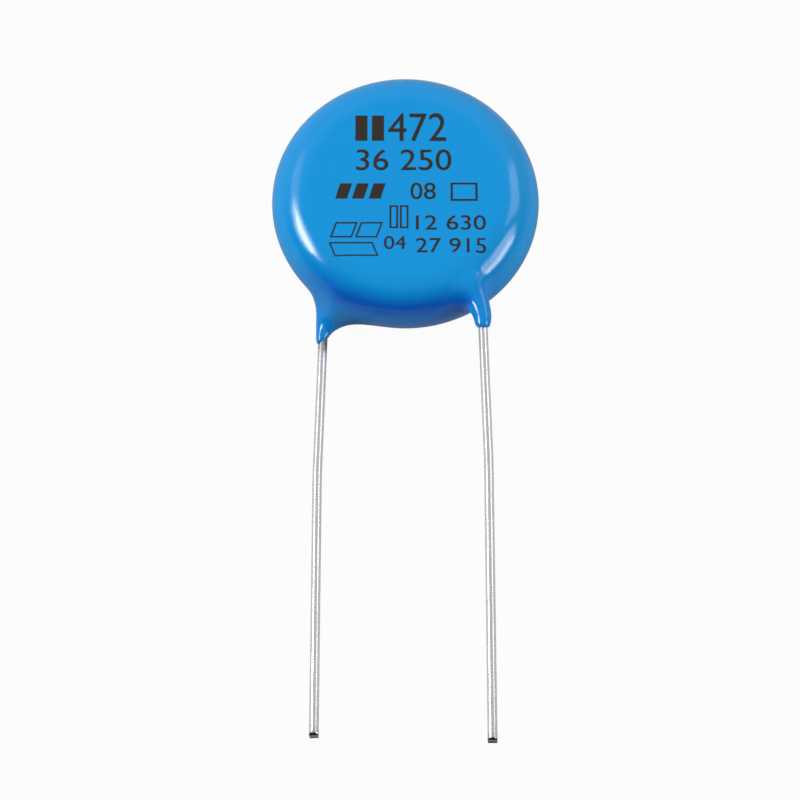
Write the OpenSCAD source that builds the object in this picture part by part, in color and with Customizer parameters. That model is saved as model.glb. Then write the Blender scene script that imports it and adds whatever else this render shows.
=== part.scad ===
// Radial leaded ceramic disc capacitor, lying on the back face of its coat.
// X runs across the two leads, the leads point to -Y and the marked face looks up.
// The origin is the middle of the flat back face. Lengths are in millimetres.

/* [Coat] */
// Diameter of the coated disc
coat_d = 16.2; // [15.6:0.1:20]
// Thickness of the coated disc
coat_t = 5; // [4.7:0.1:6.5]
// Wall of coat round a lead where it leaves the disc
skirt_wall = 0.18; // [0.12:0.01:0.4]
// Distance that the coat on the rear lead reaches below the disc
rear_skirt_drop = 0.45; // [0.3:0.05:2.4]
// Distance that the coat on the front lead reaches below the disc
front_skirt_drop = 0.7; // [0.3:0.05:2.4]
// Length over which the end of a skirt rounds in to the wire
skirt_tip = 0.8; // [0.3:0.05:1]
// Width that a skirt gains for each millimetre towards the disc
skirt_draft = 0.06; // [0.03:0.01:0.15]
// Slope of the slanting end of the coat on the rear lead
rear_end_slope = 0.45; // [0:0.05:0.8]
// Size of the web between the rear lead and the rim, on the inner side
rear_web = 2.8; // [1:0.1:3]
// Size of the web between the front lead and the rim, on the inner side
front_web = 2.3; // [1:0.1:3]
// Size of the web on the outer side of each lead
outer_web = 1; // [0.6:0.1:1.6]

/* [Ceramic] */
// Thickness of the coat round the edge of the ceramic disc
coat_rim = 1.6; // [1:0.1:2.2]
// Thickness of the ceramic disc
ceramic_t = 2; // [1.2:0.1:2.2]
// Bare ceramic margin between a silver layer and the edge of the disc
silver_margin = 0.5; // [0.3:0.1:1.5]
// Thickness of a fired silver layer
silver_t = 0.03; // [0.02:0.01:0.05]

/* [Solder] */
// Width of a solder mound across its lead
solder_w = 2; // [1.6:0.1:2.6]
// Solder over the back of the wire
solder_cover = 0.12; // [0.08:0.01:0.2]
// Solder film between the wire and the silver
solder_film = 0.02; // [0.02:0.01:0.06]
// Length of the straight stretch of a solder mound
solder_l = 2.6; // [1.5:0.1:3.5]

/* [Leads] */
// Diameter of the lead wire
wire_d = 0.55; // [0.5:0.01:0.65]
// Distance between the two leads at their tips
lead_pitch = 10; // [8:0.1:11]
// Distance of the middle between the leads from the middle of the disc
lead_shift = -0.2; // [-0.3:0.05:0.3]
// Length of the rear lead below the disc
rear_lead_l = 24.7; // [14:0.1:37]
// Length of the front lead below the disc
front_lead_l = 25.6; // [14:0.1:37]
// Distance below the disc past which the leads run parallel
parallel_drop = 9.9; // [5:0.1:12]
// Lean of the leads between the coat and their parallel stretch, in degrees
splay = 1.6; // [0.5:0.1:3]
// Inside radius of the bend where a lead turns parallel
splay_bend = 60; // [20:1:100]
// Distance below the disc of the bend inside the skirts
kink_drop = 0.1; // [0:0.05:0.3]
// Radius of the bend inside the skirts
kink_bend = 8; // [4:0.5:12]
// Lean of the leads over the ceramic, in degrees
slant = 10; // [6:0.5:14]
// Distance that a wire runs past the middle of the disc
wire_overrun = 0.6; // [0:0.1:1.5]
// Half angle of the chisel point that the cutter left on a tip, in degrees
tip_angle = 38; // [25:1:60]

/* [Hidden] */
$fn = 64;

REAR = 0;
FRONT = 1;
side = [-1, 1];
mid_z = coat_t / 2;
coat_r = coat_d / 2;
edge_r = coat_t / 2;
flat_r = coat_r - edge_r;
ceramic_d = coat_d - 2 * coat_rim;
wire_r = wire_d / 2;
silver_z = ceramic_t / 2 + silver_t;
lead_z = silver_z + solder_film + wire_r;

// What is given below the disc is measured from the disc's middle from here on
skirt_reach = [coat_r + rear_skirt_drop, coat_r + front_skirt_drop];
lead_reach = [coat_r + rear_lead_l, coat_r + front_lead_l];
parallel_from = coat_r + parallel_drop;
kink_from = coat_r + kink_drop;
end_slope = [rear_end_slope, 0];
inner_web = [rear_web, front_web];
lip_wall = 0.055;
bend_overlap = 0.1;
bend_thinning = 0.002;
lip_r = wire_r + lip_wall;
skirt_r = wire_r + skirt_wall;
web_turn = 0.6;
web_thinning = 0.7;

// Inside the disc a skirt stops growing at this depth, and then thins out
skirt_depth = 2.4;
skirt_fade = 0.2;
thin_wall = 0.02;

// Where the lead's stretches meet, from the tip inwards
parallel_x = [for (i = [REAR, FRONT]) lead_pitch / 2 + side[i] * lead_shift];
splay_from = parallel_from - splay_bend * sin(splay);
splay_x = [for (x = parallel_x) x - splay_bend * (1 - cos(splay))];
kink_x = [for (x = splay_x) x - (splay_from - kink_from) * tan(splay)];
kink_to = kink_from - kink_bend * (sin(slant) - sin(splay));
slant_x = [for (x = kink_x) x - kink_bend * (cos(splay) - cos(slant))];
slant_l = (kink_to + wire_overrun) / cos(slant);

// Distance of the axis of lead i from the middle plane, at l below the disc centre
function lead_x(i, l) =
    l >= parallel_from ? parallel_x[i]
    : l >= splay_from ? parallel_x[i] - bend_in(splay_bend, 0, parallel_from - l)
    : l >= kink_from ? splay_x[i] - (splay_from - l) * tan(splay)
    : l >= kink_to ? kink_x[i] - bend_in(kink_bend, splay, kink_from - l)
    : slant_x[i] - (kink_to - l) * tan(slant);

// How far a bend of radius r that starts at angle a has moved in, after a run of t
function bend_in(r, a, t) = r * (cos(a) - sqrt(1 - pow(sin(a) + t / r, 2)));

// Lesser of two distances, rounded over a width of k where they are alike
function blend(a, b, k) =
    let (h = max(k - abs(a - b), 0) / k)
    min(a, b) - h * h * k / 4;

// Distance from the round-edged disc, from the middle of its thickness
function disc_distance(x, y, z) =
    norm([max(norm([x, y]) - flat_r, 0), z]) - edge_r;

// Distance from the tapered skirt of coat round lead i, with its rounded end
function skirt_distance(i, x, y, z) =
    let (
        off = x - side[i] * lead_x(i, -y),
        s = skirt_reach[i] + y + side[i] * end_slope[i] * off,
        rho = norm([off, z - side[i] * lead_z]),
        gain = skirt_draft * min(max(s - skirt_tip, 0), skirt_depth),
        fade = skirt_fade * max(s - skirt_tip - skirt_depth, 0),
        wall = max(skirt_r - lip_r + gain - fade, thin_wall)
    )
    wall * (norm([max((rho - lip_r) / wall, 0), max(1 - s / skirt_tip, 0)]) - 1);

// Width of the web round lead i: larger towards the other lead, and less near the faces
function web_width(i, x, y, z) =
    let (
        t = (lead_x(i, -y) - side[i] * x) / web_turn,
        width = mix(outer_web, inner_web[i], 0.5 + 0.5 * t / sqrt(1 + t * t))
    )
    width * (1 - web_thinning * pow(z / edge_r, 2));

function mix(a, b, t) = a + (b - a) * t;

// Distance from the coat: the disc, with a skirt blended in round each lead
function coat_distance(x, y, z) =
    let (
        disc = disc_distance(x, y, z),
        with_rear = blend(disc, skirt_distance(REAR, x, y, z), web_width(REAR, x, y, z))
    )
    blend(with_rear, skirt_distance(FRONT, x, y, z), web_width(FRONT, x, y, z));

// A line over the section of the disc, at x and z, that runs down past the skirts.
// With a follow of 1 it leans with lead i, and with 0 it is straight.
function line_x(x, i, follow, y) =
    x + follow * side[i] * (lead_x(i, -y) - lead_x(i, skirt_reach[i]));

// Halves the stretch between an outer and an inner y down to where the coat begins
function find_skin(x, z, i, follow, outer, inner, steps) =
    let (y = (outer + inner) / 2)
    steps == 0 ? [line_x(x, i, follow, y), y, z]
    : coat_distance(line_x(x, i, follow, y), y, z) > 0
        ? find_skin(x, z, i, follow, y, inner, steps - 1)
        : find_skin(x, z, i, follow, outer, y, steps - 1);

function skin(x, z, i = REAR, follow = 0) =
    find_skin(x, z, i, follow, -max(skirt_reach) - skirt_r, -rim_depth(x, z), SKIN_STEPS);

// Distance of the round edge below the disc's middle, at x and z
function rim_depth(x, z) =
    let (r = flat_r + sqrt(max(edge_r * edge_r - z * z, 0)))
    sqrt(max(r * r - x * x, 0));

// Rows of the rim's grid go over its thickness, and columns go round it
SKIN_STEPS = 24;
PATCH = 10;
ROWS = 24;
MID_ROW = ROWS / 2;
BACK_COLUMNS = 48;
OUTER_COLUMNS = 4;
MIDDLE_COLUMNS = 14;

// The grid has a patch of PATCH by PATCH cells round each lead, with its middle on the lead
lead_r = flat_r + sqrt(edge_r * edge_r - lead_z * lead_z);
patch_angle = 24;
patch_at = [for (i = [REAR, FRONT]) side[i] * asin(lead_x(i, skirt_reach[i]) / lead_r)];
outermost = max(patch_at[FRONT], -patch_at[REAR]) + patch_angle / 2;
span = max(outermost + 8, 60);
breaks = [
    -span, patch_at[REAR] - patch_angle / 2, patch_at[REAR] + patch_angle / 2,
    patch_at[FRONT] - patch_angle / 2, patch_at[FRONT] + patch_angle / 2, span, 360 - span
];
counts = [OUTER_COLUMNS, PATCH, MIDDLE_COLUMNS, PATCH, OUTER_COLUMNS, BACK_COLUMNS];
angles = [
    for (k = [0 : len(counts) - 1], j = [0 : counts[k] - 1])
        mix(breaks[k], breaks[k + 1], j / counts[k])
];
COLUMNS = len(angles);
patch_column = [OUTER_COLUMNS, OUTER_COLUMNS + PATCH + MIDDLE_COLUMNS];
patch_row = [MID_ROW - PATCH, MID_ROW];

function row_z(row) = edge_r * sin(180 * row / ROWS - 90);
function row_r(row) = flat_r + edge_r * cos(180 * row / ROWS - 90);
function section_x(row, column) = row_r(row) * sin(angles[column]);

function rim_point(row, column) =
    let (a = angles[column])
    abs(a) < span ? skin(section_x(row, column), row_z(row))
    : [row_r(row) * sin(a), -row_r(row) * cos(a), row_z(row)];

function at(row, column) = row * COLUMNS + column % COLUMNS;

// The rows and columns round the outside of a patch, in order
function patch_loop(i) =
    let (r = patch_row[i], c = patch_column[i])
    [
        for (t = [0 : PATCH - 1]) [r, c + t],
        for (t = [0 : PATCH - 1]) [r + t, c + PATCH],
        for (t = [0 : PATCH - 1]) [r + PATCH, c + PATCH - t],
        for (t = [0 : PATCH - 1]) [r + PATCH - t, c]
    ];

// Radii of the rings round a lead: over the lip, down the wall and out along the web
LIP_RINGS = 4;
WALL_RINGS = 5;
WEB_RINGS = 5;
LOOP = 4 * PATCH;
wall_gain = 0.14;
ring_r = [
    for (k = [0 : LIP_RINGS]) lip_r + (skirt_r - lip_r) * sin(85 * k / LIP_RINGS),
    for (k = [1 : WALL_RINGS]) skirt_r + wall_gain * pow(k / WALL_RINGS, 1.6)
];
RINGS = len(ring_r) + WEB_RINGS;

// One ring round lead i: a circle near the lead, which opens out to the patch's edge
function ring_point(i, k, row, column) =
    let (
        cx = side[i] * lead_x(i, skirt_reach[i]),
        cz = side[i] * lead_z,
        dx = section_x(row, column) - cx,
        dz = row_z(row) - cz,
        edge = norm([dx, dz]),
        last = len(ring_r) - 1,
        t = max(k - last, 0) / (WEB_RINGS + 1),
        r = mix(ring_r[min(k, last)], edge, t),
        x = cx + dx * r / edge,
        z = cz + dz * r / edge
    )
    k == 0 ? [x, -skirt_reach[i] - side[i] * end_slope[i] * (x - cx), z]
    : skin(x, z, i, 1 - r / edge);

function ring_at(i, k, j) = ROWS_TOTAL + (i * RINGS + k) * LOOP + j % LOOP;
ROWS_TOTAL = (ROWS + 1) * COLUMNS;

function in_patch(i, row, column) =
    row >= patch_row[i] && row < patch_row[i] + PATCH
    && column >= patch_column[i] && column < patch_column[i] + PATCH;

function quad(a, b, c, d) = [[a, b, c], [a, c, d]];

// Faces of the grid, without the cells of the two patches
function rim_faces() = [
    for (row = [0 : ROWS - 1], column = [0 : COLUMNS - 1])
        if (!in_patch(REAR, row, column) && !in_patch(FRONT, row, column))
            each quad(
                at(row, column), at(row + 1, column), at(row + 1, column + 1), at(row, column + 1)
            )
];

// Faces between the rings round lead i, out to the edge of its patch
function patch_faces(i) =
    let (loop = patch_loop(i))
    [
        for (k = [0 : RINGS - 1], j = [0 : LOOP - 1])
            let (
                next = (j + 1) % LOOP,
                edge = k == RINGS - 1,
                outer = edge ? at(loop[j][0], loop[j][1]) : ring_at(i, k + 1, j),
                outer_next = edge ? at(loop[next][0], loop[next][1]) : ring_at(i, k + 1, next)
            )
            each quad(ring_at(i, k, j), ring_at(i, k, next), outer_next, outer)
    ];

module coat_body() {
    points = [
        for (row = [0 : ROWS], column = [0 : COLUMNS - 1]) rim_point(row, column),
        for (i = [REAR, FRONT], k = [0 : RINGS - 1], p = patch_loop(i))
            ring_point(i, k, p[0], p[1])
    ];
    flats = [
        [for (column = [0 : COLUMNS - 1]) at(0, column)],
        [for (column = [0 : COLUMNS - 1]) at(ROWS, COLUMNS - 1 - column)],
        for (i = [REAR, FRONT]) [for (j = [0 : LOOP - 1]) ring_at(i, 0, LOOP - 1 - j)]
    ];
    polyhedron(points, concat(rim_faces(), patch_faces(REAR), patch_faces(FRONT), flats));
}

// Turns a shape that is made for the front face and +X into its place on lead i
module on_side(i) {
    translate([0, 0, mid_z])
        rotate([0, i == REAR ? 180 : 0, 0])
            children();
}

// Bend of the wire that turns by angle, from its outer end at the origin towards +Y.
// It is drawn down a little, and each end of it reaches into the straight wire.
module wire_bend(radius, start, angle) {
    reach = asin(bend_overlap / radius);
    translate([-radius * cos(start), -radius * sin(start), 0])
        rotate([0, 0, start - reach])
            rotate_extrude(angle = angle + 2 * reach)
                translate([radius, 0])
                    circle(wire_r - bend_thinning);
}

// Straight stretch of wire that leans in by angle, from its outer end at the origin
module wire_straight(length, angle) {
    rotate([0, 0, angle])
        rotate([-90, 0, 0])
            cylinder(r = wire_r, h = length);
}

// Chisel point that a side cutter leaves: two slopes that meet over the wire's middle
module cutter_slopes() {
    for (up = [0, 1])
        mirror([0, 0, up])
            rotate([tip_angle, 0, 0])
                translate([-wire_d, -2 * wire_d, 0])
                    cube([2 * wire_d, 4 * wire_d, 2 * wire_d]);
}

module lead(i) {
    on_side(i)
        translate([0, 0, lead_z]) {
            difference() {
                translate([parallel_x[i], -lead_reach[i], 0])
                    wire_straight(lead_reach[i] - parallel_from, 0);
                translate([parallel_x[i], -lead_reach[i], 0])
                    cutter_slopes();
            }
            translate([parallel_x[i], -parallel_from, 0])
                wire_bend(splay_bend, 0, splay);
            translate([splay_x[i], -splay_from, 0])
                wire_straight((splay_from - kink_from) / cos(splay), splay);
            translate([kink_x[i], -kink_from, 0])
                wire_bend(kink_bend, splay, slant - splay);
            translate([slant_x[i], -kink_to, 0])
                wire_straight(slant_l, slant);
        }
}

// Half of the domed section of a solder mound, from its middle
module solder_section(height) {
    radius = (solder_w * solder_w / 4 + height * height) / (2 * height);
    intersection() {
        translate([0, height - radius])
            circle(radius);
        square([solder_w / 2, height]);
    }
}

// Mound of solder along the wire's end, with a round end at each end
module solder(i) {
    height = solder_film + wire_d + solder_cover;
    end_gap = solder_w / 2;
    on_side(i)
        translate([slant_x[i], -kink_to, silver_z])
            rotate([0, 0, slant])
                translate([0, slant_l - solder_l, 0]) {
                    for (turn = [0, 180])
                        translate([0, turn == 0 ? solder_l : 0, 0])
                            rotate([0, 0, turn])
                                rotate_extrude(angle = 180)
                                    solder_section(height);
                    for (flip = [0, 1])
                        mirror([flip, 0, 0])
                            translate([0, solder_l, 0])
                                rotate([90, 0, 0])
                                    linear_extrude(solder_l)
                                        solder_section(height);
                }
}

module silver_layer(i) {
    on_side(i)
        translate([0, 0, ceramic_t / 2])
            cylinder(d = ceramic_d - 2 * silver_margin, h = silver_t);
}

module ceramic_disc() {
    color("tan")
        translate([0, 0, mid_z - ceramic_t / 2])
            cylinder(d = ceramic_d, h = ceramic_t);
}

module front_electrode() {
    color("silver")
        silver_layer(FRONT);
}

module rear_electrode() {
    color("silver")
        silver_layer(REAR);
}

module front_lead() {
    color("gainsboro")
        lead(FRONT);
}

module rear_lead() {
    color("gainsboro")
        lead(REAR);
}

module front_solder() {
    color("darkgray")
        difference() {
            solder(FRONT);
            lead(FRONT);
        }
}

module rear_solder() {
    color("darkgray")
        difference() {
            solder(REAR);
            lead(REAR);
        }
}

// The coat is moulded round everything that it holds
module epoxy_coat() {
    color("dodgerblue")
        difference() {
            translate([0, 0, mid_z])
                coat_body();
            ceramic_disc();
            for (i = [REAR, FRONT]) {
                silver_layer(i);
                solder(i);
                lead(i);
            }
        }
}

epoxy_coat();
ceramic_disc();
front_electrode();
rear_electrode();
front_solder();
rear_solder();
front_lead();
rear_lead();
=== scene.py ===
"""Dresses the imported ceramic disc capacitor: coat, leads, print, inner parts and stage.

The coat and the leads keep the paths and sizes of the solids they replace, with finer skirts
and wire ends. The print is plain numbers and plain shapes. Lengths inside the mesh rules are
in millimetres.
"""

import math
from types import SimpleNamespace

import bpy
from bpy.props import FloatProperty, FloatVectorProperty, IntProperty, PointerProperty
from bpy.types import Operator, Panel, PropertyGroup
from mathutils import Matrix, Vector


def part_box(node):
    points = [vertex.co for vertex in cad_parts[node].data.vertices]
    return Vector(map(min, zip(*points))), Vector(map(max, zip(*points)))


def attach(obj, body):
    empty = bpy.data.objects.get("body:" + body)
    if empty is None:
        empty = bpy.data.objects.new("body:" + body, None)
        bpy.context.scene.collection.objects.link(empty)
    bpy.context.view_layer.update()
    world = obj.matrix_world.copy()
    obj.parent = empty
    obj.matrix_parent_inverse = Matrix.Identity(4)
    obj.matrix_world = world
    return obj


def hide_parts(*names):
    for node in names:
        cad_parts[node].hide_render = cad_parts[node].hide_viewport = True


bl_info = {
    "name": "Ceramic Disc Capacitor",
    "version": (1, 0, 0),
    "blender": (4, 5, 0),
    "location": "3D View > Sidebar > Capacitor",
    "description": "Builds the coat, leads, print and stage of a radial ceramic disc capacitor",
    "category": "Object",
}

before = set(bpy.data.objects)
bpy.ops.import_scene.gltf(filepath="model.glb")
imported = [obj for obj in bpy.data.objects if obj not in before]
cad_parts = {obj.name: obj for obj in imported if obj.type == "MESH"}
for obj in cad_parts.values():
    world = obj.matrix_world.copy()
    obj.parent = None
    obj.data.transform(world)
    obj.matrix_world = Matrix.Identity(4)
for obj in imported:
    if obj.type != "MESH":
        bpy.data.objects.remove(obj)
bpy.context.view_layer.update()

MM = 1000  # millimetres in a metre
REAR, FRONT = -1, 1
ENDS = (REAR, FRONT)
END_NAMES = {REAR: "rear", FRONT: "front"}

COAT_LOW, COAT_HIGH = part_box("epoxy_coat")
WIRE_LOW, WIRE_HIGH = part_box("front_lead")
REAR_WIRE_LOW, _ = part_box("rear_lead")
MID_Z = (COAT_LOW.z + COAT_HIGH.z) / 2
DISC_R = COAT_HIGH.y


class Wire:
    """An output socket of a node tree. The signs +, -, * and / on it add Math nodes."""

    def __init__(self, graph, socket):
        self.graph = graph
        self.socket = socket

    def __add__(self, other):
        return self.graph.math("ADD", self, other)

    def __radd__(self, other):
        return self.graph.math("ADD", other, self)

    def __sub__(self, other):
        return self.graph.math("SUBTRACT", self, other)

    def __rsub__(self, other):
        return self.graph.math("SUBTRACT", other, self)

    def __mul__(self, other):
        return self.graph.math("MULTIPLY", self, other)

    def __rmul__(self, other):
        return self.graph.math("MULTIPLY", other, self)

    def __truediv__(self, other):
        return self.graph.math("DIVIDE", self, other)

    def __neg__(self):
        return self.graph.math("MULTIPLY", self, -1.0)

    def __abs__(self):
        return self.graph.math("ABSOLUTE", self)


class Graph:
    """Adds nodes to a material, a world or a mesh rule."""

    def __init__(self, tree):
        self.tree = tree

    def node(self, kind, sockets=(), **settings):
        """A new node. Its settings are set first, and then its sockets, by name or number."""
        made = self.tree.nodes.new(kind)
        for name, value in settings.items():
            setattr(made, name, value)
        for key, value in dict(sockets).items():
            self.feed(made.inputs[key], value)
        return made

    def feed(self, socket, value):
        if isinstance(value, Wire):
            self.tree.links.new(value.socket, socket)
        else:
            socket.default_value = value

    def out(self, node, key=0):
        return Wire(self, node.outputs[key])

    def value(self, kind, sockets=(), key=0, **settings):
        """One output of a new node."""
        return self.out(self.node(kind, sockets, **settings), key)

    def math(self, operation, *values):
        return self.value("ShaderNodeMath", enumerate(values), operation=operation)

    def vector(self, operation, *values):
        return self.value("ShaderNodeVectorMath", enumerate(values), operation=operation)

    def scaled(self, vector, factor):
        sockets = {0: vector, "Scale": factor}
        return self.value("ShaderNodeVectorMath", sockets, operation="SCALE")

    def split(self, vector):
        node = self.node("ShaderNodeSeparateXYZ", {0: vector})
        return [self.out(node, key) for key in range(3)]

    def join(self, x, y, z):
        return self.value("ShaderNodeCombineXYZ", {0: x, 1: y, 2: z})

    def mix(self, factor, low, high):
        """A colour between two colours."""
        sockets = {0: factor, 6: low, 7: high}
        return self.value("ShaderNodeMix", sockets, 2, data_type="RGBA", clamp_factor=True)

    def stored(self, geometry, name, kind, value):
        """The geometry, with a value kept on its points under a name."""
        sockets = {"Geometry": geometry, "Name": name, "Value": value}
        return self.value("GeometryNodeStoreNamedAttribute", sockets, data_type=kind)

    def attribute(self, name, kind):
        """A value that was kept on the points under a name, inside a mesh rule."""
        return self.value("GeometryNodeInputNamedAttribute", {"Name": name}, data_type=kind)

    def kept(self, name):
        """A value that was kept on the points under a name, inside a material."""
        return self.value("ShaderNodeAttribute", key="Vector", attribute_name=name)

    def noise(self, vector, scale, detail=2.0, roughness=0.5):
        sockets = {"Vector": vector, "Scale": scale, "Detail": detail, "Roughness": roughness}
        return self.value("ShaderNodeTexNoise", sockets)


def work(operation, rule, *values):
    """Works out a rule on numbers, or adds its Math node where one of them is a wire."""
    wire = next((v for v in values if isinstance(v, Wire)), None)
    return rule(*values) if wire is None else wire.graph.math(operation, *values)


def least(a, b):
    return work("MINIMUM", min, a, b)


def most(a, b):
    return work("MAXIMUM", max, a, b)


def root(a):
    return work("SQRT", math.sqrt, a)


def sine(a):
    return work("SINE", math.sin, a)


def cosine(a):
    return work("COSINE", math.cos, a)


def tangent(a):
    return work("TANGENT", math.tan, a)


def hold(value, low, high):
    return least(most(value, low), high)


def length_of(a, b):
    return root(a * a + b * b)


def between(low, high, share):
    return low + (high - low) * share


def smooth(value, start, end):
    """Rises from 0 at start to 1 at end with no corner."""
    share = hold((value - start) / (end - start), 0.0, 1.0)
    return share * share * (3.0 - 2.0 * share)


def length(name, about, millimetres):
    return FloatProperty(
        name=name,
        description=about,
        default=millimetres / MM,
        soft_min=0.0,
        precision=5,
        unit="LENGTH",
    )


def number(name, about, default, low=0.0):
    return FloatProperty(name=name, description=about, default=default, min=low)


def lean(name, about, degrees):
    return FloatProperty(
        name=name, description=about, default=math.radians(degrees), subtype="ANGLE"
    )


def colour(name, about, red, green, blue):
    return FloatVectorProperty(
        name=name,
        description=about,
        default=(red, green, blue),
        min=0.0,
        max=1.0,
        subtype="COLOR",
    )


class DiscSizes(PropertyGroup):
    """The round-edged disc of the coat, which the leads' stretches are measured from too."""

    disc_d: length("Disc Diameter", "Diameter of the coated disc", 2 * DISC_R * MM)
    disc_t: length(
        "Disc Thickness", "Thickness of the coated disc", (COAT_HIGH.z - COAT_LOW.z) * MM
    )


class LeadSizes(PropertyGroup):
    """The two wires and the path that each takes out of the coat."""

    wire_d: length("Wire Diameter", "Diameter of the lead wire", (WIRE_HIGH.z - WIRE_LOW.z) * MM)
    height: length(
        "Lead Offset",
        "Distance of each lead's axis from the middle of the disc's thickness",
        ((WIRE_LOW.z + WIRE_HIGH.z) / 2 - MID_Z) * MM,
    )
    pitch: length("Lead Pitch", "Distance between the leads at their tips", 10.0)
    shift: length("Lead Shift", "Distance of the leads' middle from the disc's middle", -0.2)
    rear_l: length(
        "Rear Lead Length",
        "Length of the rear lead below the disc",
        (-REAR_WIRE_LOW.y - DISC_R) * MM,
    )
    front_l: length(
        "Front Lead Length", "Length of the front lead below the disc", (-WIRE_LOW.y - DISC_R) * MM
    )
    parallel_drop: length("Parallel Drop", "Distance below the disc of the parallel stretch", 9.9)
    splay: lean("Splay", "Lean of the leads between the coat and the parallel stretch", 1.6)
    splay_bend: length("Splay Bend", "Radius of the bend where a lead turns parallel", 60.0)
    kink_drop: length("Kink Drop", "Distance below the disc of the bend inside the skirts", 0.1)
    kink_bend: length("Kink Bend", "Radius of the bend inside the skirts", 8.0)
    slant: lean("Slant", "Lean of the leads over the ceramic", 10.0)
    overrun: length("Wire Overrun", "Distance that a wire runs past the disc's middle", 0.6)
    tin: colour("Tin", "Colour of the tinned wire", 0.85, 0.835, 0.87)
    # The oxide colour also paints the rear lead's dark reflection of the coat.
    film: colour("Oxide", "Colour of the film near a lead's ends", 0.17, 0.165, 0.17)
    cut: colour("Cut Face", "Colour of the wire where the cutter left it bare", 0.30, 0.28, 0.27)


class CoatSizes(PropertyGroup):
    """The skirts of coat round the leads, and the webs that blend them into the disc."""

    rear_wall: length("Rear Skirt Wall", "Wall of coat round the rear lead", 0.16)
    front_wall: length("Front Skirt Wall", "Wall of coat round the front lead", 0.26)
    rear_drop: length("Rear Skirt Drop", "Reach of the coat on the rear lead below the disc", 0.45)
    front_drop: length(
        "Front Skirt Drop", "Reach of the coat on the front lead below the disc", 0.7
    )
    skirt_tip: length("Skirt Tip", "Length over which a skirt's end rounds in to the wire", 0.9)
    rear_draft: number("Rear Skirt Draft", "Width that the skirt gains for its length", 0.03, -1.0)
    front_draft: number(
        "Front Skirt Draft", "Width that the skirt gains for its length", -0.04, -1.0
    )
    rear_slope: number("Rear End Slope", "Slope of the coat's end across the rear lead", 0.7)
    end_tilt: number("End Tilt", "Slope of the coat's ends towards the marked face", 0.36)
    rear_web: length("Rear Web", "Size of the web on the rear lead's inner side", 3.1)
    front_web: length("Front Web", "Size of the web on the front lead's inner side", 1.8)
    rear_outer_web: length("Rear Outer Web", "Size of the web on the rear lead's outer side", 1.2)
    front_outer_web: length(
        "Front Outer Web", "Size of the web on the front lead's outer side", 0.6
    )
    blue: colour("Epoxy", "Colour of the coat on its face", 0.001, 0.3155, 0.764)
    # The deep colour is painted shade, on the lower rim towards the leads and on the skirts.
    painted_shade_blue: colour("Painted Shade Epoxy", "Colour of the coat where it is thick", 0.0, 0.115, 0.61)
    # The low colour is painted light, lighter and bluer low on the rim towards the leads.
    painted_light_blue: colour("Painted Light Epoxy", "Colour of the coat low on the rim", 0.0, 0.27, 0.92)


class CoatMesh(PropertyGroup):
    """How finely the coat is meshed."""

    voxel: length("Mesh Size", "Size of the coat's mesh cells", 0.085)
    passes: IntProperty(
        name="Passes", description="Times that the mesh is moved onto the rule", default=4, min=1
    )


class PrintSizes(PropertyGroup):
    """The print on the marked face."""

    film: length("Ink Film", "Thickness of the ink", 0.012)
    ink: colour("Ink", "Colour of the print", 0.019, 0.013, 0.008)


class StageSizes(PropertyGroup):
    """Camera, floor and lamps."""

    focal: FloatProperty(
        name="Focal Length", description="Of the camera, for a 36 mm sensor", default=110.7
    )
    camera: FloatVectorProperty(
        name="Camera",
        description="Place of the camera",
        default=(-0.00033, -0.0648, 0.13778),
        subtype="TRANSLATION",
    )
    pitch: lean("Pitch", "Angle of the camera from straight down", 21.0)
    floor: colour("Floor", "Colour of the floor", 0.42, 0.42, 0.42)
    level: number("Lamp Level", "Strength of all lamps together", 1.07)


def single_numbers(groups):
    """Each property of the groups that holds one number, with its group and its key."""
    for group in groups:
        for key, prop in group.bl_rna.properties.items():
            if prop.type in ("FLOAT", "INT") and not getattr(prop, "is_array", False):
                yield group, key, prop


def sizes_of(*groups):
    """The sizes in these groups by their names, with lengths in millimetres."""
    found = {}
    for group, key, prop in single_numbers(groups):
        scale = MM if getattr(prop, "unit", "") == "LENGTH" else 1
        found[prop.name] = getattr(group, key) * scale
    return found


def new_rule(name, *groups, more=()):
    """A tree of mesh nodes with one input for each size in the property groups."""
    tree = bpy.data.node_groups.new(name, "GeometryNodeTree")
    names = {}
    for _, key, prop in single_numbers(groups):
        names[key] = prop.name
        kind = "NodeSocketInt" if prop.type == "INT" else "NodeSocketFloat"
        tree.interface.new_socket(prop.name, in_out="INPUT", socket_type=kind)
    for key, label, kind in more:
        names[key] = label
        tree.interface.new_socket(label, in_out="INPUT", socket_type="NodeSocket" + kind)
    graph = Graph(tree)
    given = graph.node("NodeGroupInput")
    sizes = SimpleNamespace(**{key: graph.out(given, name) for key, name in names.items()})
    return graph, sizes, {name: graph.out(given, name) for name in names.values()}


def painted(graph, mesh, material, where=True):
    """The mesh, with a material on the faces that are picked."""
    sockets = {"Geometry": mesh, "Selection": where, "Material": material}
    return graph.value("GeometryNodeSetMaterial", sockets)


def finish_rule(graph, mesh, material, where=True):
    """Ends a mesh rule in Realize Instances and Set Material."""
    graph.tree.interface.new_socket("Mesh", in_out="OUTPUT", socket_type="NodeSocketGeometry")
    real = graph.value("GeometryNodeRealizeInstances", {0: mesh})
    graph.node("NodeGroupOutput", {0: painted(graph, real, material, where)})
    return graph.tree


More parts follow.
